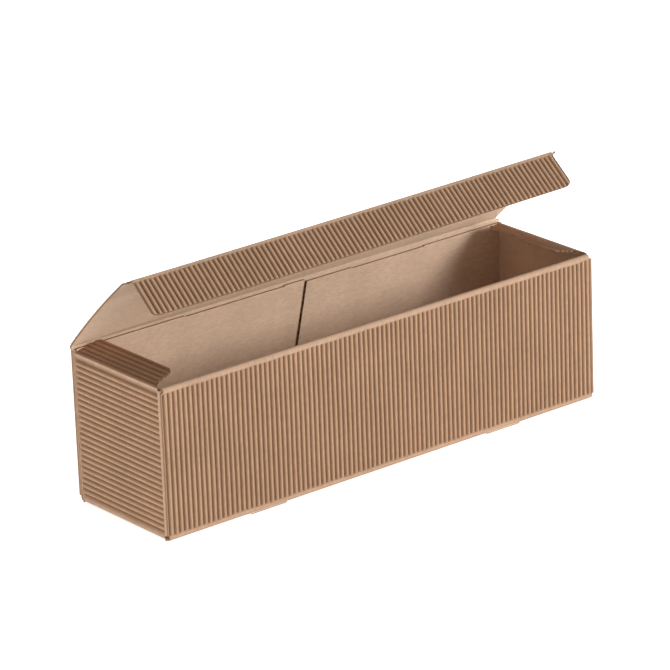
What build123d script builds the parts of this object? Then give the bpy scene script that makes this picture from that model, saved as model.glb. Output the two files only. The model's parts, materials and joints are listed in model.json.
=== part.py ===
# One-bottle gift box folded from a single sheet of kraft board with open flutes outside.
# The box lies on its bottom, with its long hinged lid half open and its front towards -Y.
# Frame: X runs along the box, Y from front to back, Z up. The origin is the middle of the
# bottom, on the plane of the flute crests that the box stands on. Millimetres.
from build123d import *
import os
from math import cos, sin, tan, radians, floor

# Overall size of the box body
length = 340.0
depth = 91.0
wall_height = 97.0
back_rise = 3.6

# The board: a smooth liner with a fluted paper glued on its outer side
board = 1.8
crushed = 0.7
flute_pitch = 3.62
flute_crest = 1.2
flute_foot = 2.8
flute_end_slope = 1.0
flute_root_share = 0.6
flute_base_share = 0.3
cutter_margin = 0.01
edge_margin = 2.0
crease_band = 2.6

# Creases and the gaps between plies that lie against each other
bend_inside = 0.3
ply_gap = 0.2
crease_gap = 0.35

# Lid and tuck flap, and how far each is open in the rest position
lid_end_inset = 0.7
lid_open = 42.5
tuck_length = 26.0
tuck_end_inset = 5.0
tuck_corner = 4.5
tuck_fold = 84.5
tuck_clearance = 1.0

# Dust flaps on the end walls
dust_width = 17.5
dust_tilt = 9.0
dust_first_flute = 3.5
dust_crease_inset = 2.4
dust_tip_round = 2.0
dust_notch_depth = 10.0
dust_notch_run = 2.8
left_dust_front_inset = 12.5
left_dust_back_inset = 4.5
right_dust_front_inset = 10.5
right_dust_back_inset = 12.5

# Corner flaps: short ones locked inside the front wall, long ones lining the back wall
corner_flap = 58.0
corner_flap_lift = 3.2
left_lining_drop = 1.5
right_lining_drop = 3.0
lining_meet = -14.0
lining_lean = 13.3
lining_gap = 2.2
lining_recess = 0.6
lining_recess_length = 68.0
lining_recess_place = 62.0

# Lock tabs of the rolled front wall, which come out through slots in the bottom crease
tab_width = 27.0
tab_place = 93.5
tab_reach = 3.7
tab_drop = 2.8
tab_start = 3.4
slot_clearance = 0.5

# Places worked out from the sizes above
half_length = length / 2
half_depth = depth / 2
liner_end = half_length - board
liner_side = half_depth - board
bend_outside = bend_inside + crushed
fold_leg = bend_inside + bend_outside
wall_liner_top = wall_height - crushed
hinge_y = liner_side
hinge_z = wall_height + back_rise
flap_liner = liner_side - ply_gap - board
flap_top = wall_liner_top - crushed
corner_flap_start = liner_end - 3 * crease_band
corner_leg_end = liner_end - 4 * crease_band
rolled_liner = flap_liner - ply_gap
rolled_face = rolled_liner - board
tuck_crease_y = -rolled_face + board + tuck_clearance
lid_width = hinge_y - tuck_crease_y
flute_count = 2 * floor((half_length - edge_margin - flute_foot / 2) / flute_pitch) + 1
end_flute_count = floor((wall_liner_top - board - 2 * crease_band) / flute_pitch)


def offset_path(path, distance):
    """The path moved sideways by a distance, with its corners kept sharp."""
    moved = []
    last = len(path) - 1
    for i, point in enumerate(path):
        here = Vector(*point)
        before = here - Vector(*path[i - 1]) if i > 0 else None
        after = Vector(*path[i + 1]) - here if i < last else None
        before = before or after
        after = after or before
        side_before = Vector(-before.Y, before.X).normalized()
        side_after = Vector(-after.Y, after.X).normalized()
        middle = side_before + side_after
        reach = distance * 2 / middle.dot(middle)
        moved.append((here.X + middle.X * reach, here.Y + middle.Y * reach))
    return moved


def bent_profile(path, side, mitre=0.0):
    """Section of crushed board whose liner follows the path and whose bends are rounded."""
    outer = offset_path(path, side * crushed)
    if mitre:
        away = (Vector(*path[1]) - Vector(*path[0])).normalized() * mitre
        outer[0] = (outer[0][0] + away.X, outer[0][1] + away.Y)
    turns_left = []
    for a, b, c in zip(path, path[1:], path[2:]):
        turns_left.append((b[0] - a[0]) * (c[1] - b[1]) - (b[1] - a[1]) * (c[0] - b[0]) > 0)
    inner_radii = [bend_inside if left != (side > 0) else bend_outside for left in turns_left]
    outer_radii = [bend_outside if left != (side > 0) else bend_inside for left in turns_left]
    liner_line = FilletPolyline(*path, radius=inner_radii)
    flute_line = FilletPolyline(*outer, radius=outer_radii)
    ends = [Line(liner_line @ 0, flute_line @ 0), Line(liner_line @ 1, flute_line @ 1)]
    return make_face([liner_line, flute_line, *ends])


def flute_row(count, run, sloped=(True, True)):
    """A row of parallel flutes: pitch along X, flutes along Y, liner at z = 0, crests up."""
    root = crushed * flute_root_share
    base = crushed * flute_base_share
    spread = (flute_foot - flute_crest) / 2 * (board - root) / (board - crushed)
    edge = flute_crest / 2 + spread
    first = -(count - 1) / 2 * flute_pitch
    outline = [(first - edge, base)]
    for i in range(count):
        middle = first + i * flute_pitch
        outline.append((middle - edge, root))
        outline.append((middle - flute_crest / 2, board))
        outline.append((middle + flute_crest / 2, board))
        outline.append((middle + edge, root))
    outline.append((first + (count - 1) * flute_pitch + edge, base))
    comb = extrude(Plane.XZ * make_face(Polyline(*outline, close=True)), run / 2, both=True)
    low = run / 2
    tops = [low - flute_end_slope if slope else low for slope in sloped]
    crest = board + cutter_margin
    side_view = [(-low, 0), (low, 0), (low, crushed), (tops[1], crest)]
    side_view += [(-tops[0], crest), (-low, crushed)]
    envelope = Plane.YZ * make_face(Polyline(*side_view, close=True))
    return comb & extrude(envelope, count * flute_pitch, both=True)


def slab(outline, plane, thickness=crushed):
    """A flat piece of crushed board with its liner on the given plane."""
    return extrude(plane * outline, thickness)


def outline_of(*points):
    return make_face(Polyline(*points, close=True))


# The wrap: back wall, bottom, front wall and the front wall's rolled-in inner ply
def wrap_sheet():
    path = [
        (hinge_y, hinge_z - crease_gap),
        (liner_side, board),
        (-liner_side, board),
        (-liner_side, wall_liner_top),
        (-rolled_liner, wall_liner_top),
        (-rolled_liner, tab_start),
    ]
    outer_walls = Plane.YZ * bent_profile(path[:5], 1, mitre=crushed)
    sheet = extrude(outer_walls, half_length - ply_gap, both=True)
    rolled = Plane.YZ * bent_profile(path[3:], 1)
    sheet += extrude(rolled, liner_end - 2 * ply_gap, both=True)
    bottom_end = liner_end + crushed
    roll_over_end = liner_end - 2 * ply_gap
    roll_over = liner_side - rolled_liner
    for side in (-1, 1):
        sheet -= Pos(side * (bottom_end + board), 0, 0) * Box(2 * board, 2 * liner_side, 4 * board)
        above_roll = Pos(side * (roll_over_end + board), -rolled_liner, wall_height)
        sheet -= above_roll * Box(2 * board, 2 * roll_over, 4 * crushed)
    return sheet


def wrap_flutes():
    bottom_run = 2 * (liner_side - crease_band)
    wall_low = board + crease_band
    front_run = wall_liner_top - crease_band - wall_low
    back_run = hinge_z - crease_band - wall_low
    front_middle = wall_low + front_run / 2
    back_middle = wall_low + back_run / 2
    bottom = Plane((0, 0, board), x_dir=(1, 0, 0), z_dir=(0, 0, -1))
    front = Plane((0, -liner_side, front_middle), x_dir=(1, 0, 0), z_dir=(0, -1, 0))
    back = Plane((0, liner_side, back_middle), x_dir=(1, 0, 0), z_dir=(0, 1, 0))
    rolled = Plane((0, -rolled_liner, front_middle), x_dir=(1, 0, 0), z_dir=(0, 1, 0))
    front_row = flute_row(flute_count, front_run)
    return [
        bottom * flute_row(flute_count, bottom_run),
        front * front_row,
        rolled * front_row,
        back * flute_row(flute_count, back_run),
    ]


# Lock tabs: the rolled ply's feet, bent forward through slots along the bottom crease
def lock_tab(place):
    path = [
        (-rolled_liner, tab_start + crease_band),
        (-rolled_liner, tab_start),
        (-rolled_liner - tab_reach, tab_start - tab_drop),
    ]
    foot = Plane.YZ * bent_profile(path, 1)
    return Pos(place, 0, 0) * extrude(foot, tab_width / 2, both=True)


def lock_slot(place):
    inner_y = -rolled_liner - slot_clearance
    outer_y = -half_depth - slot_clearance
    top = tab_start - tab_drop * (liner_side - rolled_liner) / tab_reach + slot_clearance
    middle = Pos(place, (inner_y + outer_y) / 2, top / 2)
    return middle * Box(tab_width + 2 * slot_clearance, inner_y - outer_y, top)


# End walls, seen here on the +X side and mirrored for the other end
def end_wall():
    fold = [
        (liner_end - 2 * crease_band, board),
        (liner_end, board),
        (liner_end, wall_liner_top),
        (
            liner_end - fold_leg * cos(radians(dust_tilt)),
            wall_liner_top + fold_leg * sin(radians(dust_tilt)),
        ),
    ]
    half_width = flap_liner - bend_outside
    upright = Plane.XZ * bent_profile(fold, -1)
    sheet = extrude(upright, half_width, both=True)
    run = 2 * (flap_liner - crease_band)
    low = board + crease_band
    middle = (low + wall_liner_top - crease_band) / 2
    face = Plane((liner_end, 0, middle), x_dir=(0, 0, 1), z_dir=(1, 0, 0))
    return [sheet, face * flute_row(end_flute_count, run)]


def corner_folds():
    path = [
        (corner_leg_end, flap_liner),
        (liner_end, flap_liner),
        (liner_end, -flap_liner),
        (corner_leg_end, -flap_liner),
    ]
    foot = corner_flap_lift
    return Pos(0, 0, foot) * extrude(bent_profile(path, 1), flap_top - foot)


def dust_flap(front_inset, back_inset, front_notched, back_notched):
    """Dust flap, drawn with x running in from its crease and y from back to front."""
    tip = dust_width
    dust_root = fold_leg - ply_gap
    hinge_front = liner_side - dust_crease_inset
    hinge_back = liner_side - ply_gap - crease_gap
    front = [(dust_root, hinge_front), (tip, liner_side - front_inset)]
    back = [(tip, back_inset - liner_side), (dust_root, -hinge_back)]
    if front_notched:
        front[1:1] = [(dust_notch_run, liner_side - dust_notch_depth)]
    if back_notched:
        back[1:1] = [(dust_notch_run, dust_notch_depth - liner_side)]
    shape = outline_of(*front, *back)
    tips = [v for v in shape.vertices() if v.X > tip / 2]
    shape = fillet(tips, dust_tip_round)
    tilt = radians(dust_tilt)
    inwards = (-cos(tilt), 0, sin(tilt))
    upwards = (sin(tilt), 0, cos(tilt))
    plane = Plane((liner_end, 0, wall_liner_top), x_dir=inwards, z_dir=upwards)
    rows = floor((dust_width - dust_first_flute - flute_foot / 2) / flute_pitch) + 1
    middle = dust_first_flute + (rows - 1) / 2 * flute_pitch
    flutes = Pos(middle, 0, 0) * flute_row(rows, 2 * liner_side)
    clip = extrude(offset(shape, -flute_end_slope, kind=Kind.INTERSECTION), board)
    return [slab(shape, plane), plane * (flutes & clip)]


def lining(meet, lean, top, recess_side):
    """Long corner flap along the back wall, with its meeting edge cut on a slant."""
    foot = corner_flap_lift
    end = corner_flap_start
    meet_at_top = meet + lean * (top - foot)
    outline = outline_of((meet, foot), (end, foot), (end, top), (meet_at_top, top))
    recess = Pos(recess_side, top) * Rectangle(lining_recess_length, 2 * lining_recess)
    shape = outline - recess
    plane = Plane((0, flap_liner, 0), x_dir=(-1, 0, 0), z_dir=(0, 1, 0))
    flip = mirror(shape, about=Plane.YZ)
    return slab(flip, plane)


def short_flap():
    foot = corner_flap_lift
    start = liner_end - corner_flap
    end = corner_flap_start
    cut_corner = [(start, foot + board), (start + board, foot)]
    outline = outline_of(*cut_corner, (end, foot), (end, flap_top), (start, flap_top))
    return slab(outline, Plane((0, -flap_liner, 0), x_dir=(1, 0, 0), z_dir=(0, -1, 0)))


def right_end():
    lean = tan(radians(lining_lean))
    meet = lining_meet + lining_gap / 2
    dust = dust_flap(right_dust_front_inset, right_dust_back_inset, True, True)
    long_flap = lining(meet, lean, hinge_z - right_lining_drop, lining_recess_place)
    return [*end_wall(), corner_folds(), short_flap(), *dust, long_flap]


def left_end():
    lean = -tan(radians(lining_lean))
    meet = lining_gap / 2 - lining_meet
    dust = dust_flap(left_dust_front_inset, left_dust_back_inset, True, False)
    long_flap = lining(meet, lean, hinge_z - left_lining_drop, lining_recess_place)
    pieces = [*end_wall(), corner_folds(), short_flap(), *dust, long_flap]
    return [mirror(piece, about=Plane.YZ) for piece in pieces]


# The tray is everything but the lid: one folded sheet
wrap = wrap_sheet()
for side in (-1, 1):
    wrap -= lock_slot(side * tab_place)
tabs = [lock_tab(side * tab_place) for side in (-1, 1)]
tray = Part() + [wrap, *wrap_flutes(), *tabs, *right_end(), *left_end()]


# Lid and tuck flap are laid out closed and level, then turned to the rest position
def lid_panel():
    near = hinge_y - crease_gap
    far = tuck_crease_y + crease_gap
    section = [(near, 0), (far, 0), (far, crushed), (near - crushed, crushed)]
    sheet = extrude(Plane.YZ * outline_of(*section), half_length - lid_end_inset, both=True)
    run = lid_width - 2 * crease_band
    row = Pos(0, (near + far) / 2, 0) * flute_row(flute_count, run)
    return Pos(0, 0, hinge_z) * (sheet + row)


def tuck_panel():
    half = half_length - tuck_end_inset
    near = -crease_gap
    corners = [(-half, near), (half, near), (half, -tuck_length), (-half, -tuck_length)]
    shape = outline_of(*corners)
    tips = [v for v in shape.vertices() if v.Y < -tuck_length / 2]
    shape = fillet(tips, tuck_corner)
    run = tuck_length - crease_band
    row = Pos(0, -crease_band - run / 2, 0) * flute_row(flute_count - 2, run, sloped=(False, True))
    clip = extrude(shape, board)
    return Pos(0, tuck_crease_y, hinge_z) * (slab(shape, Plane.XY) + (row & clip))


hinge = Axis((0, hinge_y, hinge_z), (-1, 0, 0))
tuck_crease = Axis((0, tuck_crease_y, hinge_z), (-1, 0, 0))
lid = lid_panel().rotate(hinge, lid_open)
tuck_flap = tuck_panel().rotate(tuck_crease, -tuck_fold).rotate(hinge, lid_open)

os.makedirs("parts", exist_ok=True)
for name, piece in {"tray": tray, "lid": lid, "tuck_flap": tuck_flap}.items():
    export_step(piece, f"parts/{name}.step")
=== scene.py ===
# %% [markdown]
# # A fluted kraft gift box
# The object is a long gift box folded from one sheet of brown kraft board. The board is a smooth
# liner with a wavy paper glued on its outer side and left bare, so every outer face is ribbed.
# The lid hangs on the back wall by a crease and stands half open.
#
# The whole file works in metres. It asks the loaded frame for the box's real sizes and builds
# each folded panel as a closed sheet of board. The flutes could be a bump in the material, but
# they show in the outline of every edge, so here they are real waves in the mesh.

# %% Load the frame
import json
import math

import bmesh
import bpy
import numpy as np
from mathutils import Matrix, Vector


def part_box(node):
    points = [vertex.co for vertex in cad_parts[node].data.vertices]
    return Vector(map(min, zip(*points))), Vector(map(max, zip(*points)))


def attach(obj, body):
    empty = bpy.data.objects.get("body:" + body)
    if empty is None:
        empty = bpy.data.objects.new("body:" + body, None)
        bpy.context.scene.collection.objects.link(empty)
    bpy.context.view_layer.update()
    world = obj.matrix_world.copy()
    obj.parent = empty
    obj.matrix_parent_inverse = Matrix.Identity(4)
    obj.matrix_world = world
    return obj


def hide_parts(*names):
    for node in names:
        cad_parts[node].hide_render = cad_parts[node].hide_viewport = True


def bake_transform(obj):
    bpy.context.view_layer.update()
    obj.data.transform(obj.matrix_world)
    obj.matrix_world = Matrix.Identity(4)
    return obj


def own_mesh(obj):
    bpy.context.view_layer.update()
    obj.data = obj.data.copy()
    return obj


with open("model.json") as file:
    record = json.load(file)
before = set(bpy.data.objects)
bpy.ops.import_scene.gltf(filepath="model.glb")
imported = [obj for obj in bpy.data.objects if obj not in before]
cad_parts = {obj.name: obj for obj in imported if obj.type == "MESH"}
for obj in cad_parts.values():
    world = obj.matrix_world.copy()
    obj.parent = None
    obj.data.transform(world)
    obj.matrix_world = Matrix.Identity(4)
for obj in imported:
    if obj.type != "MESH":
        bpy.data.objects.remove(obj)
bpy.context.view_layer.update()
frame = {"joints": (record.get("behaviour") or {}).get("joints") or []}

# %% [markdown]
# ## Sizes taken from the frame
# The lid and its flap turn on two creases. Their places could be typed in, but they are joints of
# the loaded model, so they are read from there and always agree. The board's thickness is the
# distance from the liner, where the back crease lies, out to the crests of the back wall.

# %% Sizes of the box and its board
mm = 0.001
tray_high = Vector(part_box("tray")[1])
joints = {joint["name"]: joint for joint in frame["joints"]}
hinge = Vector(joints["lid_hinge"]["pos_m"])
tuck_crease = Vector(joints["tuck_crease"]["pos_m"])

half_length = tray_high.x
board = tray_high.y - hinge.y
liner_side = hinge.y
liner_end = half_length - board
crushed = 0.7 * mm
closed_height = 97.0 * mm
wall_top = closed_height - crushed
lid_width = (tuck_crease - hinge).length
lid_open = math.atan2(tuck_crease.z - hinge.z, hinge.y - tuck_crease.y)
print(f"board {board / mm:.2f} mm, lid {lid_width / mm:.1f} mm wide, open {math.degrees(lid_open):.1f}")

# %% [markdown]
# ## Camera
# The picture was taken with a long lens from the front left, a little above the box, and the
# camera was tipped by two degrees. A camera could be turned by hand until the view looks alike.
# These values were worked out from the box's edges instead, so the render lies over the
# photograph. The Standard view shows each colour as it is written.

# %% Camera at the photograph's place
camera_place = Vector((-1.5777, -2.0005, 1.0209))
camera_azimuth = math.radians(38.21)
camera_dip = math.radians(20.36)
camera_roll = math.radians(-2.20)
camera_lens = 236.4
sensor_width = 36.0
view_depth = 20.0


def add_object(name, data):
    """A new object in the scene."""
    added = bpy.data.objects.new(name, data)
    bpy.context.scene.collection.objects.link(added)
    return added


camera_data = bpy.data.cameras.new("camera")
camera_data.sensor_width = sensor_width
camera_data.lens = camera_lens
camera_data.clip_end = view_depth
camera = add_object("camera", camera_data)
ahead = Vector((
    math.sin(camera_azimuth) * math.cos(camera_dip),
    math.cos(camera_azimuth) * math.cos(camera_dip),
    -math.sin(camera_dip),
))
turn = ahead.to_track_quat("-Z", "Y").to_matrix() @ Matrix.Rotation(camera_roll, 3, "Z")
camera.matrix_world = Matrix.Translation(camera_place) @ turn.to_4x4()
bpy.context.scene.camera = camera
bpy.context.scene.view_settings.view_transform = "Standard"
print(f"camera {camera_place.length:.2f} m from the box, lens {camera_lens:.0f} mm")

# %% [markdown]
# ## Light from the room
# The photograph looks as if it was taken in a pale room whose walls are brighter than its
# ceiling. A picture of such a room could light the scene. A plain gradient in the world does the
# same here and is easier to change: bright at the horizon and dim overhead, so that what faces
# straight up stays a little darker.

# %% Room light
room_white = (1.0, 0.99, 0.975, 1.0)
wall_light = 0.62
ceiling_light = 0.12
ceiling_from = 0.8


def set_inputs(node, values):
    """Values typed into a node's sockets."""
    for socket, value in values.items():
        node.inputs[socket].default_value = value


world = bpy.data.worlds.new("white_room")
bpy.context.scene.world = world
world.use_nodes = True
room_nodes = world.node_tree.nodes
room_links = world.node_tree.links
room_light = room_nodes["Background"]
set_inputs(room_light, {"Color": room_white})
room_place = room_nodes.new("ShaderNodeTexCoord")
room_split = room_nodes.new("ShaderNodeSeparateXYZ")
wall_to_ceiling = room_nodes.new("ShaderNodeMapRange")
set_inputs(wall_to_ceiling, {"From Min": 0.0, "From Max": ceiling_from,
                             "To Min": wall_light, "To Max": ceiling_light})
room_links.new(room_place.outputs["Generated"], room_split.inputs[0])
room_links.new(room_split.outputs["Z"], wall_to_ceiling.inputs["Value"])
room_links.new(wall_to_ceiling.outputs["Result"], room_light.inputs["Strength"])
print(f"room light {wall_light} at the horizon, {ceiling_light} overhead")

# %% [markdown]
# ## Lamps
# One large soft lamp stands at the front right. Long low boards of light in front and at the left
# reach under the lid, which a higher lamp would leave dark. A bigger, softer lamp behind the box
# keeps its back and the top of the lid readable from the other side. Point lamps would draw hard
# shadows, so these are area lamps.

# %% Soft studio lamps
box_middle = Vector((0.0, 0.0, 0.06))
lamp_white = (1.0, 0.985, 0.96)


def soft_lamp(name, turn_right, height, distance, wide, tall, watts):
    """An area lamp aimed at the box. turn_right and height are degrees, from straight in front."""
    turned, raised = math.radians(turn_right), math.radians(height)
    out = Vector((math.sin(turned) * math.cos(raised),
                  -math.cos(turned) * math.cos(raised), math.sin(raised)))
    data = bpy.data.lights.new(name, "AREA")
    data.shape = "RECTANGLE"
    data.size = wide
    data.size_y = tall
    data.energy = watts
    data.color = lamp_white
    lamp = add_object(name, data)
    lamp.location = box_middle + out * distance
    lamp.rotation_euler = (-out).to_track_quat("-Z", "Y").to_euler()


soft_lamp("right_softbox", turn_right=34, height=20, distance=2.4, wide=0.9, tall=0.7, watts=35.0)
soft_lamp("front_low_board", turn_right=30, height=0, distance=2.0, wide=1.2, tall=0.12, watts=8.0)
soft_lamp("left_low_board", turn_right=-75, height=0, distance=2.0, wide=1.2, tall=0.12, watts=22.0)
soft_lamp("back_softbox", turn_right=165, height=40, distance=2.4, wide=1.2, tall=0.9, watts=34.0)

# %% [markdown]
# ## Floor and background
# The photograph is cut out on white. More light would make a floor white too, but it would also
# fall on the box. So the floor is a plain pale sheet, and what the camera sees of it is lifted to
# white by a light of its own, which only camera rays and clear reflections see.

# %% Pale floor
floor_size = 30.0
floor_drop = 0.0002
floor_paper = (0.86, 0.86, 0.86, 1.0)
seen_lift = 0.80

half_floor = floor_size / 2
floor_corners = [(-half_floor, -half_floor, 0), (half_floor, -half_floor, 0),
                 (half_floor, half_floor, 0), (-half_floor, half_floor, 0)]
floor_mesh = bpy.data.meshes.new("floor")
floor_mesh.from_pydata(floor_corners, [], [(0, 1, 2, 3)])
floor = add_object("floor", floor_mesh)
floor.location.z = -floor_drop

paper_white = bpy.data.materials.new("white_floor")
paper_white.use_nodes = True
nodes = paper_white.node_tree.nodes
links = paper_white.node_tree.links
nodes.clear()
output = nodes.new("ShaderNodeOutputMaterial")
matt = nodes.new("ShaderNodeBsdfDiffuse")
set_inputs(matt, {"Color": floor_paper})
glow = nodes.new("ShaderNodeEmission")
set_inputs(glow, {"Strength": seen_lift})
dark = nodes.new("ShaderNodeEmission")
set_inputs(dark, {"Strength": 0.0})
pick = nodes.new("ShaderNodeMixShader")
both = nodes.new("ShaderNodeAddShader")
rays = nodes.new("ShaderNodeLightPath")
seen = rays.outputs["Is Camera Ray"]
for kind in ("Is Glossy Ray", "Is Transmission Ray"):
    either = nodes.new("ShaderNodeMath")
    either.operation = "MAXIMUM"
    links.new(seen, either.inputs[0])
    links.new(rays.outputs[kind], either.inputs[1])
    seen = either.outputs[0]
links.new(seen, pick.inputs["Fac"])
links.new(dark.outputs[0], pick.inputs[1])
links.new(glow.outputs[0], pick.inputs[2])
links.new(matt.outputs[0], both.inputs[0])
links.new(pick.outputs[0], both.inputs[1])
links.new(both.outputs[0], output.inputs["Surface"])
floor_mesh.materials.append(paper_white)
print("floor", floor_size, "m wide")

# %% [markdown]
# ## A folded path
# Every panel is a strip that runs straight and then turns at a crease. It could be cut from flat
# planes and bent with a modifier, but then each fold would need its own pivot. The path below is
# the line of the liner instead: straight runs joined by small round folds. It can be asked for the
# place and the outward normal at any distance.

# %% Path helper
fold_radius = 0.5 * mm


def folded_path(corners, radius=fold_radius):
    """Pieces of a path with round folds: (start, end, point, heading, turn)."""
    points = [np.array(corner, float) for corner in corners]
    headings = [(b - a) / np.linalg.norm(b - a) for a, b in zip(points, points[1:])]
    pieces = []
    distance = 0.0
    start = points[0]
    for i, heading in enumerate(headings):
        end = points[i + 1]
        trim = 0.0
        if i + 1 < len(headings):
            after = headings[i + 1]
            turn = math.atan2(heading[0] * after[1] - heading[1] * after[0], heading @ after)
            trim = radius * math.tan(abs(turn) / 2)
        run = np.linalg.norm(end - start) - trim
        pieces.append((distance, distance + run, start, heading, 0.0))
        distance += run
        if trim:
            bend_start = end - heading * trim
            pieces.append((distance, distance + radius * abs(turn), bend_start, heading, turn))
            distance += radius * abs(turn)
            start = end + after * trim
    return pieces


def path_length(pieces):
    return pieces[-1][1]


def fold_spans(pieces):
    """Where along the path its folds begin and end."""
    return [(piece[0], piece[1]) for piece in pieces if piece[4]]


def along(pieces, distances, side):
    """Places and outward normals at these distances. side 1 has the flutes on the left."""
    places = np.zeros((len(distances), 2))
    normals = np.zeros((len(distances), 2))
    for n, (start, end, point, heading, turn) in enumerate(pieces):
        last = n == len(pieces) - 1
        inside = (distances >= start) & ((distances < end) | last)
        gone = (distances[inside] - start)[:, None]
        left = np.array((-heading[1], heading[0]))
        if turn:
            radius = (end - start) / abs(turn)
            angle = gone / (end - start) * turn
            hand = math.copysign(1.0, turn)
            centre = point + left * radius * hand
            spoke = -left * hand * np.cos(angle) + heading * np.sin(angle) * hand
            places[inside] = centre + spoke * radius
            normals[inside] = -spoke * hand * side
        else:
            places[inside] = point + heading * gone
            normals[inside] = left * side
    return places, normals


right_angle = folded_path([(0.0, 0.0), (10 * mm, 0.0), (10 * mm, 10 * mm)])
print(f"two 10 mm runs round a fold: {path_length(right_angle) / mm:.2f} mm along the liner")

# %% [markdown]
# ## Stations along the flutes
# A flute is pressed flat where a crease crosses it, and rises again within two and a half
# millimetres. Rows of points could be that close all the way, but the mesh would be many times
# heavier. So they are dense at folds and ends, and sparse between.

# %% Stations
ramp_offsets = np.array([0.0, 1.0, 1.7, 2.3, 2.9, 3.5, 4.2, 5.2, 7.0]) * mm
middle_room = 0.3 * mm
row_step = 9 * mm
fold_steps = 5
decimals = 8


def stations(pieces, step=row_step):
    """Distances for rows: dense at folds and ends, sparse between them."""
    spots = []
    for start, end, _, _, turn in pieces:
        if turn:
            spots += list(np.linspace(start, end, fold_steps + 1))
            continue
        length = end - start
        near = ramp_offsets[ramp_offsets <= max(length / 2 - middle_room, 0.0)]
        spots += list(start + near) + list(end - near)
        gap_low, gap_high = start + near[-1], end - near[-1]
        count = max(int((gap_high - gap_low) / step), 1)
        spots += list(np.linspace(gap_low, gap_high, count + 1))
    return np.unique(np.round(spots, decimals))


print("rows for that fold and its two runs:", len(stations(right_angle)))

# %% [markdown]
# ## Where the flutes lie
# Flute paper is drawn into a rounded wave of even pitch. An array of one modelled flute would
# repeat it exactly. Here the columns of one large grid follow the wave, eight to each flute, so
# that each flute can differ a little from the next and all stay joined as one paper.

# %% Flutes and their columns
flute_pitch = 3.62 * mm
samples = 8
hair = 1e-9


def crest_places(count, middle=0.0):
    """Centres of a row of flutes."""
    return middle + (np.arange(count) - (count - 1) / 2) * flute_pitch


def flute_columns(crests, low, high, extra=()):
    """Columns across the flutes, and the plain margins beside them."""
    edges = np.append(crests - flute_pitch / 2, crests[-1] + flute_pitch / 2)
    fine = np.concatenate([np.linspace(a, b, samples, endpoint=False)
                           for a, b in zip(edges, edges[1:])])
    columns = np.concatenate([[low], fine, [edges[-1]], [high], np.array(extra, float)])
    columns = columns[(columns >= low - hair) & (columns <= high + hair)]
    return np.unique(np.round(columns, decimals))


def between_flutes(values, crests, columns):
    """Values that each flute has, carried over to every column."""
    return np.array([np.interp(columns, crests, row) for row in values])


print(f"flutes {flute_pitch / mm:.2f} mm apart, {samples} columns each")

# %% [markdown]
# ## Where the flutes are pressed flat
# A creasing rule crushes the flutes in a band, and each flute comes back to its height at a point
# of its own. A straight edge to that band would look stamped, so the start of each rise is drawn
# from a seeded generator, which gives the same numbers in each run. A knife presses the cut ends
# down too, but only a little.

# %% Rise between folds
crease_half_band = 0.6 * mm
ramp_length = 1.2 * mm
ramp_scatter = 0.6 * mm
cut_ramp = 1.6 * mm
pressed_cut = 0.82
margin_ramp = 0.5 * mm


def smooth_step(x):
    x = np.clip(x, 0.0, 1.0)
    return x * x * (3 - 2 * x)


def rise_between_folds(rng, rows, columns, crests, folds, cuts=()):
    """How far the flutes stand up: 0 where a fold has pressed them flat, 1 in the open."""
    count = len(crests)
    distance = np.full((len(rows), count), 1.0)
    for start, end in folds:
        late = rng.uniform(0.0, ramp_scatter, (2, count))
        before = start - rows[:, None] - crease_half_band - late[0]
        after = rows[:, None] - end - crease_half_band - late[1]
        distance = np.minimum(distance, np.maximum(before, after))
    rise = smooth_step(distance / ramp_length)
    for cut in cuts:
        away = np.abs(rows - cut)[:, None] / cut_ramp
        rise = np.minimum(rise, pressed_cut + (1 - pressed_cut) * smooth_step(away))
    return between_flutes(rise, crests, columns)


def press_margins(rise, columns, crests):
    """The plain margins beside the outermost flutes are pressed flat."""
    outside = np.min(np.abs(columns[:, None] - crests[None, :]), axis=1) - flute_pitch / 2
    return rise * (1 - smooth_step(outside / margin_ramp))[None, :]


full_at = crease_half_band + ramp_scatter + ramp_length
print(f"the last flute is up again {full_at / mm:.1f} mm from its crease")

# %% [markdown]
# ## The shape of the wave
# The wave is broad on top and narrow in the groove. A plain cosine is too pointed for that, so it
# is raised to a power below one, which widens the crest. The flutes also differ in height by a
# tenth of a millimetre or so and wander slowly sideways.

# %% Height and wander
groove = 0.45 * mm
fold_thickness = 1.4 * mm
wave_power = 0.75
height_scatter = 0.16 * mm
wander = 0.13 * mm
least_wander = 0.3
wander_waves = (45, 110)


def raise_flutes(rng, rise, columns, crests):
    """Height of the outer paper above the liner's inner face, and how near it is to a crest."""
    loss = rng.uniform(0.0, height_scatter, (1, len(crests)))
    top = board - between_flutes(loss, crests, columns)
    offset = np.min(np.abs(columns[:, None] - crests[None, :]), axis=1) / flute_pitch
    bump = np.clip(0.5 + 0.5 * np.cos(2 * np.pi * np.minimum(offset, 0.5)), 0, 1) ** wave_power
    base = fold_thickness + (groove - fold_thickness) * rise
    return base + (top - base) * bump[None, :] * rise, bump[None, :] * rise


def sideways(rng, rows, columns, crests):
    """Slow sideways wander of the flutes, none at the margins."""
    count = len(crests)
    waves = rng.uniform(*wander_waves, count) * mm
    phase = rng.uniform(0, 2 * np.pi, count)
    size = rng.uniform(least_wander, 1.0, count) * wander
    drift = size * np.sin(2 * np.pi * rows[:, None] / waves + phase)
    drift = between_flutes(drift, crests, columns)
    inner = (columns > crests[0] - flute_pitch / 2) & (columns < crests[-1] + flute_pitch / 2)
    return drift * inner[None, :]


print(f"flutes up to {(board - groove) / mm:.2f} mm deep")

# %% [markdown]
# ## A cut across the flutes
# Where a knife cuts across the flutes, the edge shows the board's real section: the liner, the
# wavy paper and the hollow between them. A flat edge with a dark pattern would look wrong from
# close by. So the edge of each whole flute is a ring of faces as thick as the two papers, and the
# hollow inside it is sunk as a little pocket.

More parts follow.
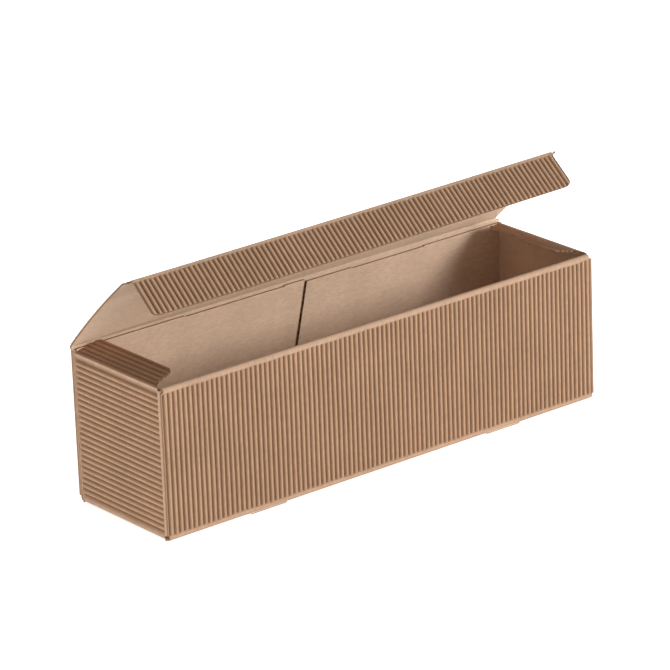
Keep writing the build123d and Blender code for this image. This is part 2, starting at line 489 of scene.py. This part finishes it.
# %% Cut edge with hollows
liner_paper = 0.33 * mm
wave_paper = 0.24 * mm
lowest_hollow = liner_paper * 1.05
pocket_rows = 3
FLUTES, LINER, CUT = 0, 1, 2


def hollow_rim(verts, outer_row, liner_row, place, normal, height, marks):
    """Faces of a cut end. Pockets add their points to verts.

    place, normal and height have two rows: the cut, and the foot of the pockets behind it.
    """
    faces = []
    for n, (a, b) in enumerate(zip(marks, marks[1:])):
        outer = [outer_row[c] for c in range(a, b + 1)]
        whole = b - a == samples and height[0, a:b + 1].max() > liner_paper + 2 * wave_paper
        if not whole:
            faces.append([liner_row[n], liner_row[n + 1]] + outer[::-1])
            continue
        mouth, foot = [], []
        for level, ring in enumerate((mouth, foot)):
            for c in range(a + 1, b):
                at_liner = c in (a + 1, b - 1)
                up = liner_paper if at_liner else max(height[level, c] - wave_paper, lowest_hollow)
                ring.append(len(verts))
                verts.append(place[level, c] + normal[level, c] * up)
        faces.append([liner_row[n], liner_row[n + 1], outer[-1], outer[-2], mouth[-1], mouth[0],
                      outer[1], outer[0]])
        for k in range(len(mouth) - 1):
            faces.append([mouth[k], mouth[k + 1], outer[k + 2], outer[k + 1]])
            faces.append([mouth[k], mouth[k + 1], foot[k + 1], foot[k]])
        faces.append([mouth[-1], mouth[0], foot[0], foot[-1]])
        faces.append(foot)
    return faces


print(f"papers {liner_paper / mm:.2f} and {wave_paper / mm:.2f} mm thick at a cut")

# %% [markdown]
# ## From a grid to a sheet of board
# One function turns places, normals and heights into a closed mesh. A solidify modifier could
# thicken a surface, but it would copy the waves to the inside, where real board is flat. So the
# outer face is a fine grid, the liner has only one column per flute, and the rim joins the two
# with many-sided faces.

# %% Mesh builder
weld_distance = 1e-7


def tidy_sheet(mesh):
    """Faces turned outwards, and sharp edges round and within the cut edges."""
    work = bmesh.new()
    work.from_mesh(mesh)
    bmesh.ops.remove_doubles(work, verts=work.verts, dist=weld_distance)
    bmesh.ops.recalc_face_normals(work, faces=work.faces)
    for edge in work.edges:
        kinds = [face.material_index for face in edge.link_faces]
        if len(kinds) == 2 and (kinds[0] != kinds[1] or kinds[0] == CUT):
            edge.smooth = False
    work.to_mesh(mesh)
    work.free()


def board_piece(name, place, normal, height, share, rise, marks, hollow=(False, False)):
    """A closed sheet of board from a grid. Rows run along the flutes, columns across them."""
    rows, columns = height.shape
    outer = place + normal * height[:, :, None]
    verts = [*outer.reshape(-1, 3), *place[:, marks].reshape(-1, 3)]
    grid = np.arange(rows * columns).reshape(rows, columns)
    flat = rows * columns + np.arange(rows * len(marks)).reshape(rows, len(marks))
    faces, kinds = [], []
    for sheet, kind in ((grid, FLUTES), (flat, LINER)):
        quads = np.stack([sheet[:-1, :-1], sheet[:-1, 1:], sheet[1:, 1:], sheet[1:, :-1]], -1)
        quads = quads.reshape(-1, 4).tolist()
        faces += quads
        kinds += [kind] * len(quads)
    rim = []
    for edge_out, edge_in in ((grid[:, 0], flat[:, 0]), (grid[:, -1], flat[:, -1])):
        rim += [[edge_out[r], edge_out[r + 1], edge_in[r + 1], edge_in[r]] for r in range(rows - 1)]
    for end, foot, open_end in ((0, pocket_rows, hollow[0]), (-1, -1 - pocket_rows, hollow[1])):
        if open_end:
            levels = [end, foot]
            rim += hollow_rim(verts, grid[end], flat[end], place[levels], normal[levels],
                              height[levels], marks)
        else:
            rim += [[flat[end, n], flat[end, n + 1], *grid[end, a:b + 1][::-1]]
                    for n, (a, b) in enumerate(zip(marks, marks[1:]))]
    faces += rim
    kinds += [CUT] * len(rim)
    mesh = bpy.data.meshes.new(name)
    mesh.from_pydata([tuple(v) for v in verts], [], [[int(i) for i in f] for f in faces])
    for label, values in (("crest", share), ("pressed", 1 - rise)):
        attribute = mesh.attributes.new(label, "FLOAT", "POINT")
        full = np.zeros(len(verts), np.float32)
        full[:rows * columns] = values.reshape(-1)
        attribute.data.foreach_set("value", full)
    mesh.polygons.foreach_set("material_index", kinds)
    mesh.polygons.foreach_set("use_smooth", [True] * len(kinds))
    tidy_sheet(mesh)
    piece = add_object(name, mesh)
    print(f"{name}: {len(mesh.polygons)} faces")
    return piece


print("kinds of face: flutes", FLUTES, "liner", LINER, "cut", CUT)

# %% [markdown]
# ## Creases across the flutes
# In most panels the creases cross the flutes. The sheet could be modelled flat and folded after,
# but the flutes have to fade at each crease anyway, so it is made folded: the path is walked
# along the flutes, and the sheet is pushed out sideways from it.

# %% Sheets whose path runs along the flutes
AXES = {"x": np.array((1.0, 0, 0)), "y": np.array((0, 1.0, 0)), "z": np.array((0, 0, 1.0))}
same_place = 1e-6


def lift(flat_points, first, second):
    """2-D points written along two named axes."""
    return flat_points[..., :1] * AXES[first] + flat_points[..., 1:] * AXES[second]


def third_axis(plane):
    """The axis that a plane such as "yz" leaves over."""
    return AXES["xyz".replace(plane[0], "").replace(plane[1], "")]


def liner_marks(columns, crests):
    """Columns that the liner keeps: the grooves between flutes and the margins."""
    grooves = np.append(crests - flute_pitch / 2, crests[-1] + flute_pitch / 2)
    near = np.min(np.abs(columns[:, None] - grooves[None, :]), axis=1) < same_place
    outside = (columns < grooves[0] - same_place) | (columns > grooves[-1] + same_place)
    return np.flatnonzero(near | outside)


def creased_across(name, corners, plane, side, crests, reach, seed, cuts=(), hollow=(False, False),
                   step=row_step, row_reach=None, edge_folds=(), bow=0.0, press=None,
                   shift=None, extra_rows=()):
    """Board whose path runs along its flutes. reach is its lowest and highest column.

    row_reach(row) narrows a row, press(rows, columns) flattens flutes, shift(place) moves points.
    """
    rng = np.random.default_rng(seed)
    pieces = folded_path(corners)
    rows = np.unique(np.concatenate([stations(pieces, step), np.round(extra_rows, decimals)]))
    columns = flute_columns(crests, *reach)
    flat_place, flat_normal = along(pieces, rows, side)
    if bow:
        share_along = rows / path_length(pieces)
        flat_place = flat_place + flat_normal * (4 * bow * share_along * (1 - share_along))[:, None]
    folds = fold_spans(pieces) + list(edge_folds)
    ends = [(0.0, path_length(pieces))[cut] for cut in cuts]
    rise = rise_between_folds(rng, rows, columns, crests, folds, ends)
    if press is not None:
        rise = rise * press(rows[:, None], columns[None, :])
    rise = press_margins(rise, columns, crests)
    height, share = raise_flutes(rng, rise, columns, crests)
    column_place = columns[None, :] + sideways(rng, rows, columns, crests)
    if row_reach is not None:
        limits = np.array([row_reach(row) for row in rows])
        column_place = np.clip(column_place, limits[:, :1], limits[:, 1:])
    place = lift(flat_place, *plane)[:, None, :] + column_place[:, :, None] * third_axis(plane)
    if shift is not None:
        place = shift(place)
    normal = np.broadcast_to(lift(flat_normal, *plane)[:, None, :], place.shape)
    marks = liner_marks(columns, crests)
    return board_piece(name, place, normal, height, share, rise, marks, hollow)


print("a sheet from the y-z plane is pushed out along", third_axis("yz"))

# %% [markdown]
# ## Creases beside the flutes
# In the end panels the creases run beside the flutes, so there the path is walked across them.
# One function for both ways would be full of exceptions. Here each flute may begin and end where
# it likes, which gives a panel its outline.

# %% Sheets whose path runs across the flutes
beyond = 1.5 * mm


def creased_beside(name, pieces, plane, side, crests, reach, seed, limits, folds_at_ends,
                   hollow=(False, False), flip=False, full_rise=1.0):
    """Board whose path runs across its flutes. limits gives where each flute begins and ends.

    folds_at_ends says at which ends of the flutes the next panel's crease lies.
    """
    rng = np.random.default_rng(seed)
    bends = np.concatenate([np.linspace(start, end, fold_steps + 1)
                            for start, end in fold_spans(pieces)])
    columns = flute_columns(crests, *reach, extra=bends)
    ends = np.array([limits(column) for column in columns])
    span = np.abs(ends[:, 1] - ends[:, 0]).max()
    rows = stations(folded_path([(0.0, 0.0), (span, 0.0)]))
    ends_outside = ((-beyond - fold_radius, -beyond), (span + beyond, span + beyond + fold_radius))
    folds = [fold for fold, is_fold in zip(ends_outside, folds_at_ends) if is_fold]
    cuts = [cut for cut, is_fold in zip((0.0, span), folds_at_ends) if not is_fold]
    rise = rise_between_folds(rng, rows, columns, crests, folds, cuts)
    rise = press_margins(rise, columns, crests) * full_rise
    height, share = raise_flutes(rng, rise, columns, crests)
    flat_place, flat_normal = along(pieces, columns, side)
    row_place = ends[None, :, 0] + (rows / span)[:, None] * (ends[:, 1] - ends[:, 0])[None, :]
    place = lift(flat_place, *plane)[None, :, :] + row_place[:, :, None] * third_axis(plane)
    normal = np.broadcast_to(lift(flat_normal, *plane)[None, :, :], place.shape)
    if flip:
        mirror = np.array((-1.0, 1.0, 1.0))
        place, normal = place * mirror, normal * mirror
    marks = liner_marks(columns, crests)
    return board_piece(name, place, normal, height, share, rise, marks, hollow)


print(f"the next crease lies {beyond / mm:.1f} mm past the end of a flute")

# %% [markdown]
# ## The wrap: back, bottom, front and the rolled-in ply
# One long strip makes the back wall, the bottom and the front wall, rolls over the front wall's
# top edge and goes down again on the inside. Four panels set edge to edge would break the flutes
# at each corner, so it is drawn as one sheet, and its flutes pass from face to face, pressed flat
# at each crease.

# %% Sizes of the wrap
ply_gap = 0.2 * mm
flap_liner = liner_side - ply_gap - board
rolled_liner = flap_liner - ply_gap
rolled_foot = 3.4 * mm
rolled_edge_drop = 1.2 * mm
strip = 1.5 * mm
flute_count = 93
long_crests = crest_places(flute_count)
wrap_step = 12 * mm

# Distances along the wrap's path: its length down the back wall, and where the front wall starts.
back_run = hinge.z - strip - board
front_start = back_run + 2 * liner_side
bottom_inset = 3 * mm
roll_lead = 2 * mm
roll_start = front_start + wall_top - board - roll_lead
end_strip = 2.2 * mm
corner_zone = 1.5 * mm
corner_over = 0.4 * mm
pressed_flutes = 2.2
print(f"{flute_count} flutes on a front wall {2 * half_length / mm:.0f} mm long")

# %% [markdown]
# ### The outline of the wrap
# Its panels aren't equally long: the bottom ends where the end walls grow out of it, and the
# rolled-in ply has to fit between them. Cutting the mesh would leave ragged flutes. Instead each
# row is told how far it may reach, and points past that are moved to the limit.

# %% Wrap


def wrap_reach(row):
    """Half width: the rolled-in ply and the bottom are shorter than the outer walls."""
    half = half_length - ply_gap
    if back_run + bottom_inset < row < front_start - bottom_inset:
        half = liner_end - end_strip
    elif abs(row - back_run) < corner_zone or abs(row - front_start) < corner_zone:
        half = liner_end + corner_over
    elif row > roll_start:
        half = liner_end - 2 * ply_gap
    return (-half, half)


def bottom_press(rows, columns):
    """The bottom's outermost flutes are pressed flat by the creases of the end walls."""
    at_end = smooth_step((np.abs(columns) - (liner_end - pressed_flutes * flute_pitch)) / flute_pitch)
    in_bottom = (rows > back_run) & (rows < front_start)
    return 1 - at_end * in_bottom


wrap_corners = [
    (hinge.y, hinge.z - strip),
    (liner_side, board),
    (-liner_side, board),
    (-liner_side, wall_top),
    (-rolled_liner, wall_top - rolled_edge_drop),
    (-rolled_liner, rolled_foot),
]
fold_before = (-strip - fold_radius, -strip)
wrap = creased_across("wrap", wrap_corners, "yz", 1, long_crests,
                      (-half_length + ply_gap, half_length - ply_gap), seed=11, cuts=(1,),
                      step=wrap_step, row_reach=wrap_reach, edge_folds=[fold_before],
                      press=bottom_press)

# %% [markdown]
# ## Lid
# The lid is the same board, hinged on the back wall. A flat panel would look like sheet metal:
# soft board bows up a little between its creases and twists. The bow is added along the path. The
# twist turns each point about the hinge, most at the right end.

# %% Lid
lid_way = np.array((-math.cos(lid_open), math.sin(lid_open)))
hinge_point = np.array((hinge.y, hinge.z))
crease_point = np.array((tuck_crease.y, tuck_crease.z))
lid_over = 0.6 * mm
lid_reach = (-half_length - lid_over, half_length + lid_over)
lid_bow = 1.3 * mm
lid_step = 7 * mm
hinge_bevel = 3.5 * mm
hinge_bevel_run = 14.0 * mm
lid_lift = math.radians(0.7)
lid_twist = math.radians(2.1)
twist_power = 1.5


def twisted(place):
    """The lid stands a little more open, most of all at its right end, as soft board does."""
    share_right = np.clip((place[..., 0] + half_length) / (2 * half_length), 0, 1)
    turn = lid_lift + lid_twist * share_right ** twist_power
    out = hinge_point[0] - place[..., 1]
    up = place[..., 2] - hinge_point[1]
    y = hinge_point[0] - (out * np.cos(turn) - up * np.sin(turn))
    z = hinge_point[1] + out * np.sin(turn) + up * np.cos(turn)
    return np.stack([place[..., 0], y, z], -1)


def lid_limits(row):
    """The lid's right edge is cut back near the hinge."""
    return (lid_reach[0], lid_reach[1] - hinge_bevel * max(1 - row / hinge_bevel_run, 0.0))


lid_corners = [hinge_point + lid_way * strip, crease_point - lid_way * strip]
lid_run = lid_width - 2 * strip
lid_folds = [fold_before, (lid_run + strip, lid_run + strip + fold_radius)]
lid = creased_across("lid_board", lid_corners, "yz", -1, long_crests, lid_reach, seed=23,
                     step=lid_step, edge_folds=lid_folds, bow=lid_bow, row_reach=lid_limits,
                     shift=twisted)

# %% [markdown]
# ## Tuck flap
# The lid's free edge carries a narrow flap that tucks in behind the front wall. It is a little
# shorter than the box, and its free corners are rounded so that they don't catch. It could be one
# sheet with the lid, but the two turn on a crease, so it is a piece of its own. Its free edge is
# a knife cut, with the hollow ends of the flutes open to view.

# %% Tuck flap
tuck_turn = math.radians(84.5)
tuck_way = np.array((-math.cos(lid_open - tuck_turn), math.sin(lid_open - tuck_turn)))
tuck_length = 26.0 * mm
tuck_inset = 5.0 * mm
tuck_half = half_length - tuck_inset
tuck_corner = 4.5 * mm
tuck_crests = crest_places(flute_count - 2)
tuck_run = tuck_length - strip
tuck_step = 6 * mm


def tuck_reach(row):
    """The flap's two free corners are rounded."""
    into = max(row - (tuck_run - tuck_corner), 0.0)
    cut_back = tuck_corner - math.sqrt(max(tuck_corner ** 2 - into ** 2, 0.0))
    return (-tuck_half + cut_back, tuck_half - cut_back)


tuck_corners = [crease_point + tuck_way * strip, crease_point + tuck_way * tuck_length]
tuck = creased_across("tuck_board", tuck_corners, "yz", -1, tuck_crests,
                      (-tuck_half, tuck_half), seed=31, cuts=(1,), hollow=(False, True),
                      step=tuck_step, row_reach=tuck_reach, edge_folds=[fold_before],
                      shift=twisted)

# %% [markdown]
# ## Crease strips
# At a crease the board is crushed to a thin smooth strip. If the lid ended at the crease, the
# joint would open as it turns. So each of its two creases is a strip of its own, which bends
# between its neighbours, and nothing tears. The strip at the hinge lies flat along the straight
# wall and takes up the lid's twist on its way across.

# %% Crease strips
strip_step = 1.0 * mm
strip_radius = 0.8 * mm
strip_thickness = 1.1 * mm
strip_columns = 81


def pressed_strip(name, corners, radius, side, columns, thickness, shift=None):
    """A short smooth strip of pressed board, bent in the y-z plane."""
    pieces = folded_path(corners, radius)
    rows = stations(pieces, strip_step)
    flat_place, flat_normal = along(pieces, rows, side)
    place = lift(flat_place, "y", "z")[:, None, :] + columns[None, :, None] * AXES["x"]
    if shift is not None:
        place = shift(place, rows / path_length(pieces))
    normal = np.broadcast_to(lift(flat_normal, "y", "z")[:, None, :], place.shape)
    shape = (len(rows), len(columns))
    return board_piece(name, place, normal, np.full(shape, thickness), np.zeros(shape),
                       np.zeros(shape), np.arange(len(columns)))


def crease_strip(name, corners, reach, turned):
    """The strip round one crease of the lid. turned says how far it twists on its way across."""
    def with_lid(place, share):
        return place + (twisted(place) - place) * turned(share)[:, None, None]

    return pressed_strip(name, corners, strip_radius, -1, np.linspace(*reach, strip_columns),
                         strip_thickness, with_lid)


hinge_corners = [(hinge.y, hinge.z - strip), hinge_point, hinge_point + lid_way * strip]
hinge_reach = (lid_reach[0], lid_reach[1] - hinge_bevel)
hinge_crease = crease_strip("hinge_crease", hinge_corners, hinge_reach, smooth_step)
flap_corners = [crease_point - lid_way * strip, crease_point, crease_point + tuck_way * strip]
flap_crease = crease_strip("flap_crease", flap_corners, (-tuck_half, tuck_half), np.ones_like)

# %% [markdown]
# ## End walls and dust flaps
# Each end wall grows out of the bottom, so its flutes run from front to back. A dust flap hangs on
# its top crease and stands up a little, as card does that was folded only once. Wall and flap
# could be one sheet, but the lid presses the flap down as it closes. So the flap is a second
# piece, which starts within the top fold.

# %% End walls and dust flaps
wall_crest_count = 24
wall_middle = (board + wall_top) / 2
corner_run = 0.55 * mm
wall_half = flap_liner - corner_run
dust_width = 17.5 * mm
dust_crest_count = 4
dust_first_crest = 3.5 * mm
dust_tip_round = 2.2 * mm
flap_share_start = 0.4
dust_rise = 0.62


def end_wall(name, side_sign, tilt, front_limit, back_limit, seed):
    """One end wall and its dust flap. The limits are lists of (distance from crease, y)."""
    rise_way = np.array((-math.cos(tilt), math.sin(tilt)))
    top = np.array((liner_end, wall_top))
    corners = [(liner_end - end_strip, board), (liner_end, board), top, top + rise_way * dust_width]
    pieces = folded_path(corners)
    straight_runs = [piece for piece in pieces if not piece[4]]
    run_start, _, run_point, _, _ = straight_runs[1]
    wall_start = run_start - run_point[1]
    wall_crests = wall_start + crest_places(wall_crest_count, wall_middle)
    fold_start, fold_end = fold_spans(pieces)[1]
    crease_end = fold_start + flap_share_start * (fold_end - fold_start)
    crease = wall_start + wall_top
    dust_crests = crease + dust_first_crest + np.arange(dust_crest_count) * flute_pitch

    def wall_limits(column):
        return (-wall_half, wall_half)

    def dust_limits(column):
        out = column - crease
        front = np.interp(out, *zip(*front_limit))
        back = np.interp(out, *zip(*back_limit))
        into = max(out - (dust_width - dust_tip_round), 0.0)
        corner = dust_tip_round - math.sqrt(max(dust_tip_round ** 2 - into ** 2, 0.0))
        return (front + corner, back - corner)

    flip = side_sign < 0
    wall = creased_beside(name + "_wall", pieces, "xz", -1, wall_crests, (0.0, crease_end),
                          seed, wall_limits, (True, True), flip=flip)
    flap = creased_beside(name + "_dust_flap", pieces, "xz", -1, dust_crests,
                          (crease_end, path_length(pieces)), seed + 1, dust_limits,
                          (False, False), hollow=(True, True), flip=flip, full_rise=dust_rise)
    return wall, flap


left_front = [(0.0, -41.0 * mm), (2.8 * mm, -34.9 * mm), (12.6 * mm, -34.2 * mm),
              (dust_width, -31.6 * mm)]
left_back = [(0.0, 43.0 * mm), (dust_width, 40.5 * mm)]
right_front = [(0.0, -41.0 * mm), (2.8 * mm, -34.2 * mm), (dust_width, -33.2 * mm)]
right_back = [(0.0, 43.0 * mm), (3.5 * mm, 36.5 * mm), (dust_width, 32.5 * mm)]
left_wall, left_dust = end_wall("left", -1, math.radians(15), left_front, left_back, seed=41)
right_wall, right_dust = end_wall("right", 1, math.radians(13.5), right_front, right_back, seed=51)

# %% [markdown]
# ## Corner flaps
# Flaps on the end walls' upright edges lock the box. The short ones go between the two plies of
# the front wall. The long ones lie along the inside of the back wall, so what shows inside the
# box is their smooth liner, and they meet on a slanted edge near the middle. A line drawn on one
# plain lining would pass for the seam, but two real sheets give its gap, its shadow and the small
# step where each top edge is cut lower.

# %% Sizes of the corner flaps
flap_low = 3.2 * mm
flap_high = wall_top - crushed
short_length = 58.0 * mm
corner_step = 14 * mm
meet_middle = -14.0 * mm
meet_gap = 2.2 * mm
meet_lean = math.tan(math.radians(13.3))
left_lining_top = hinge.z - 1.5 * mm
right_lining_top = hinge.z - 3.0 * mm
recess_depth = 0.6 * mm
recess_middle = 62.0 * mm
recess_half = 34.0 * mm
recess_corner = 0.2 * mm
corner_crests = crest_places(wall_crest_count, wall_middle)
lining_crests = np.append(corner_crests, corner_crests[-1] + flute_pitch)
print(f"short flaps {short_length / mm:.0f} mm long, seam {meet_middle / mm:.0f} mm from the middle")

# %% Corner flaps


def short_flap(name, side_sign, seed):
    """A short corner flap, which the rolled front wall holds between its plies."""
    corners = [(side_sign * liner_end, -wall_half), (side_sign * liner_end, -flap_liner),
               (side_sign * (liner_end - short_length), -flap_liner)]
    return creased_across(name, corners, "xy", side_sign, corner_crests, (flap_low, flap_high),
                          seed, cuts=(1,), step=corner_step)


def lining(name, side_sign, top, seed):
    """A long corner flap along the back wall, with its free end cut on the slant."""
    corners = [(side_sign * liner_end, wall_half), (side_sign * liner_end, flap_liner),
               (meet_middle, flap_liner)]

    def top_limit(row):
        x = liner_end + corner_run - row
        inside = abs(x - recess_middle) < recess_half
        return (flap_low, top - recess_depth * inside)

    def slanted(place):
        edge = meet_middle + side_sign * meet_gap / 2 + meet_lean * (place[..., 2] - flap_low)
        start = side_sign * liner_end
        stretched = start + (place[..., 0] - start) * (edge - start) / (meet_middle - start)
        return np.stack([stretched, place[..., 1], place[..., 2]], -1)

    ends = [liner_end + corner_run - recess_middle + hand * recess_half for hand in (-1, 1)]
    steps = [end + nudge for end in ends for nudge in (-recess_corner, recess_corner)]
    return creased_across(name, corners, "xy", -side_sign, lining_crests, (flap_low, top), seed,
                          cuts=(1,), hollow=(False, True), step=corner_step,
                          row_reach=top_limit, shift=slanted, extra_rows=steps)


corner_pieces = [short_flap("left_short_flap", -1, 61), short_flap("right_short_flap", 1, 62),
                 lining("left_lining", -1, left_lining_top, 63),
                 lining("right_lining", 1, right_lining_top, 64)]

# %% [markdown]
# ## Lock tabs
# The rolled-in ply ends in two feet that are bent forward and come out through slots in the
# bottom crease of the front wall, where they show as two thin lips. They are crushed smooth and
# need no flutes, so the helper that made the crease strips makes them too.

# %% Lock tabs
tab_width = 27.0 * mm
tab_place = 93.5 * mm
tab_root = 2.6 * mm
tab_reach = 3.7 * mm
tab_drop = 2.8 * mm
tab_columns = 16


def lock_tab(name, middle):
    """A foot of the rolled-in ply, bent forward through its slot."""
    corners = [(-rolled_liner, rolled_foot + tab_root), (-rolled_liner, rolled_foot),
               (-rolled_liner - tab_reach, rolled_foot - tab_drop)]
    columns = np.linspace(middle - tab_width / 2, middle + tab_width / 2, tab_columns)
    return pressed_strip(name, corners, fold_radius, 1, columns, crushed)


tabs = [lock_tab("left_lock_tab", -tab_place), lock_tab("right_lock_tab", tab_place)]

# %% [markdown]
# ## Nodes for paper
# A picture of paper would have to be unwrapped onto every panel. Noise on the object's own
# coordinates needs no unwrapping and holds from every side. Three small helpers make the node
# trees short to write: a noise, a ramp of greys and a mix.

# %% Node helpers


def noise(tree, place, scale, detail, roughness, squeeze=(1, 1, 1)):
    """A noise texture on stretched object coordinates."""
    mapping = tree.nodes.new("ShaderNodeMapping")
    set_inputs(mapping, {"Scale": squeeze})
    tree.links.new(place, mapping.inputs["Vector"])
    texture = tree.nodes.new("ShaderNodeTexNoise")
    set_inputs(texture, {"Scale": scale, "Detail": detail, "Roughness": roughness})
    tree.links.new(mapping.outputs["Vector"], texture.inputs["Vector"])
    return texture.outputs["Fac"]


def ramp(tree, factor, stops):
    """A ramp of greys from two (position, grey) stops."""
    node = tree.nodes.new("ShaderNodeValToRGB")
    for stop, (position, grey) in zip(node.color_ramp.elements, stops):
        stop.position = position
        stop.color = (grey, grey, grey, 1.0)
    tree.links.new(factor, node.inputs["Fac"])
    return node.outputs["Color"]


def mix(tree, kind, factor, first, second):
    """Two colours mixed. Each value is a number, a colour or an output."""
    node = tree.nodes.new("ShaderNodeMix")
    node.data_type = "RGBA"
    node.blend_type = kind
    for socket, value in ((node.inputs[0], factor), (node.inputs[6], first), (node.inputs[7], second)):
        if isinstance(value, bpy.types.NodeSocket):
            tree.links.new(value, socket)
        elif isinstance(value, tuple):
            socket.default_value = (*value, 1.0)
        else:
            socket.default_value = value
    return node.outputs[2]


print("node helpers: noise, ramp and mix")

# %% [markdown]
# ## Kraft paper
# Kraft paper is matt and brown, with fibres and small specks, and a little unevenness across the
# sheet. The tops of the flutes are paler, partly as rubbed paper and partly as a painted highlight
# where they catch the light, and the grooves are darker and redder, partly from glue and partly as
# painted shade, deeper than the grooves' own shading. Where a crease has pressed the board it is
# pale and smooth. One colour and a bump would leave all that to the light. The mesh knows where
# its crests and its pressed parts are, so it tells the material through two attributes.

# %% Kraft paper
paper_roughness = 0.86
paper_gloss = 0.25
cloud_scale = 28
cloud_tones = [(0.3, 0.93), (0.7, 1.05)]
fibre_scale = 900
fibre_tones = [(0.35, 0.90), (0.65, 1.06)]
fibre_relief = 0.25
fibre_height = 0.0002
speck_scale = 1500
speck_tones = [(0.30, 0.72), (0.36, 1.0)]
speck_share = 0.6


def kraft(name, crest_colour, groove_colour_with_shade, pressed_colour, grain):
    """Brown kraft paper. grain squeezes the fibres' noise, so that it runs long one way."""
    material = bpy.data.materials.new(name)
    material.use_nodes = True
    tree = material.node_tree
    shader = tree.nodes["Principled BSDF"]
    set_inputs(shader, {"Roughness": paper_roughness, "Specular IOR Level": paper_gloss})
    place = tree.nodes.new("ShaderNodeTexCoord").outputs["Object"]
    crest = tree.nodes.new("ShaderNodeAttribute")
    crest.attribute_name = "crest"
    pressed = tree.nodes.new("ShaderNodeAttribute")
    pressed.attribute_name = "pressed"
    # Painted shade: the grooves take a darker colour than the crests, by the crest attribute.
    colour = mix(tree, "MIX", crest.outputs["Fac"], groove_colour_with_shade, crest_colour)
    colour = mix(tree, "MIX", pressed.outputs["Fac"], colour, pressed_colour)
    clouds = noise(tree, place, cloud_scale, detail=4, roughness=0.6)
    colour = mix(tree, "MULTIPLY", 1.0, colour, ramp(tree, clouds, cloud_tones))
    fibres = noise(tree, place, fibre_scale, detail=3, roughness=0.7, squeeze=grain)
    colour = mix(tree, "MULTIPLY", 1.0, colour, ramp(tree, fibres, fibre_tones))
    specks = noise(tree, place, speck_scale, detail=2, roughness=0.5)
    colour = mix(tree, "MULTIPLY", speck_share, colour, ramp(tree, specks, speck_tones))
    tree.links.new(colour, shader.inputs["Base Color"])
    bump = tree.nodes.new("ShaderNodeBump")
    set_inputs(bump, {"Strength": fibre_relief, "Distance": fibre_height})
    tree.links.new(fibres, bump.inputs["Height"])
    tree.links.new(bump.outputs["Normal"], shader.inputs["Normal"])
    return material


print(f"fibres {fibre_height / mm:.1f} mm high at most")

# %% [markdown]
# ## The papers of this box
# The liner is a paler paper than the flutes, and a cut edge looks darker than either, because it
# is full of small shadows. The dust flaps get a darker, flatter pair of colours of their own, which
# is painted shade standing in for the lid's shadow on them. Each piece takes three papers: for its
# flutes, its liner and its cuts.

# %% Papers on the pieces
crest_brown = (0.53, 0.335, 0.215)
# The groove colour is partly the glue's own tone and partly painted shade.
groove_glue_and_shade = (0.19, 0.095, 0.048)
pressed_brown = (0.55, 0.365, 0.25)
liner_brown = (0.78, 0.58, 0.43)
cut_brown = (0.30, 0.18, 0.105)
# Painted shade: the dust flaps' darker pair of colours stands in for the lid's shadow on them.
shaded_crest = (0.30, 0.165, 0.095)
shaded_groove = (0.24, 0.125, 0.070)
flute_kraft = kraft("kraft_flutes", crest_brown, groove_glue_and_shade, pressed_brown, (1, 0.25, 0.25))
liner_kraft = kraft("kraft_liner", liner_brown, liner_brown, liner_brown, (0.3, 1, 1))
cut_kraft = kraft("kraft_cut_edge", cut_brown, cut_brown, cut_brown, (1, 1, 1))
shaded_dust_kraft = kraft("kraft_dust_flaps_painted_shade", shaded_crest, shaded_groove, shaded_crest, (0.25, 1, 0.25))

box_pieces = [wrap, left_wall, right_wall, left_dust, right_dust, *corner_pieces, *tabs]
board_pieces = [*box_pieces, lid, tuck, hinge_crease, flap_crease]
for piece in board_pieces:
    # The dust flaps take the paper with painted shade.
    outer_kraft = shaded_dust_kraft if piece in (left_dust, right_dust) else flute_kraft
    for material in (outer_kraft, liner_kraft, cut_kraft):
        piece.data.materials.append(material)
print("papers:", flute_kraft.name, liner_kraft.name, cut_kraft.name, shaded_dust_kraft.name)

# %% [markdown]
# ## What moves with what
# The wrap and the ends stand for the box's solid body, and the lid and its flap stand for theirs.
# Parenting each mesh by hand would do for one pose. Naming the body that it rides on does for
# all. The crease strips have their place written into their meshes, and the dust flaps get meshes
# of their own.

# %% Ride and replace
for piece in box_pieces:
    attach(piece, "box_body")
for flap in (left_dust, right_dust):
    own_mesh(flap)
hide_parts("tray")
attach(lid, "lid")
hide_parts("lid")
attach(tuck, "tuck_flap")
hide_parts("tuck_flap")


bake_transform(hinge_crease)
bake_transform(flap_crease)
print("pieces:", [piece.name for piece in board_pieces])
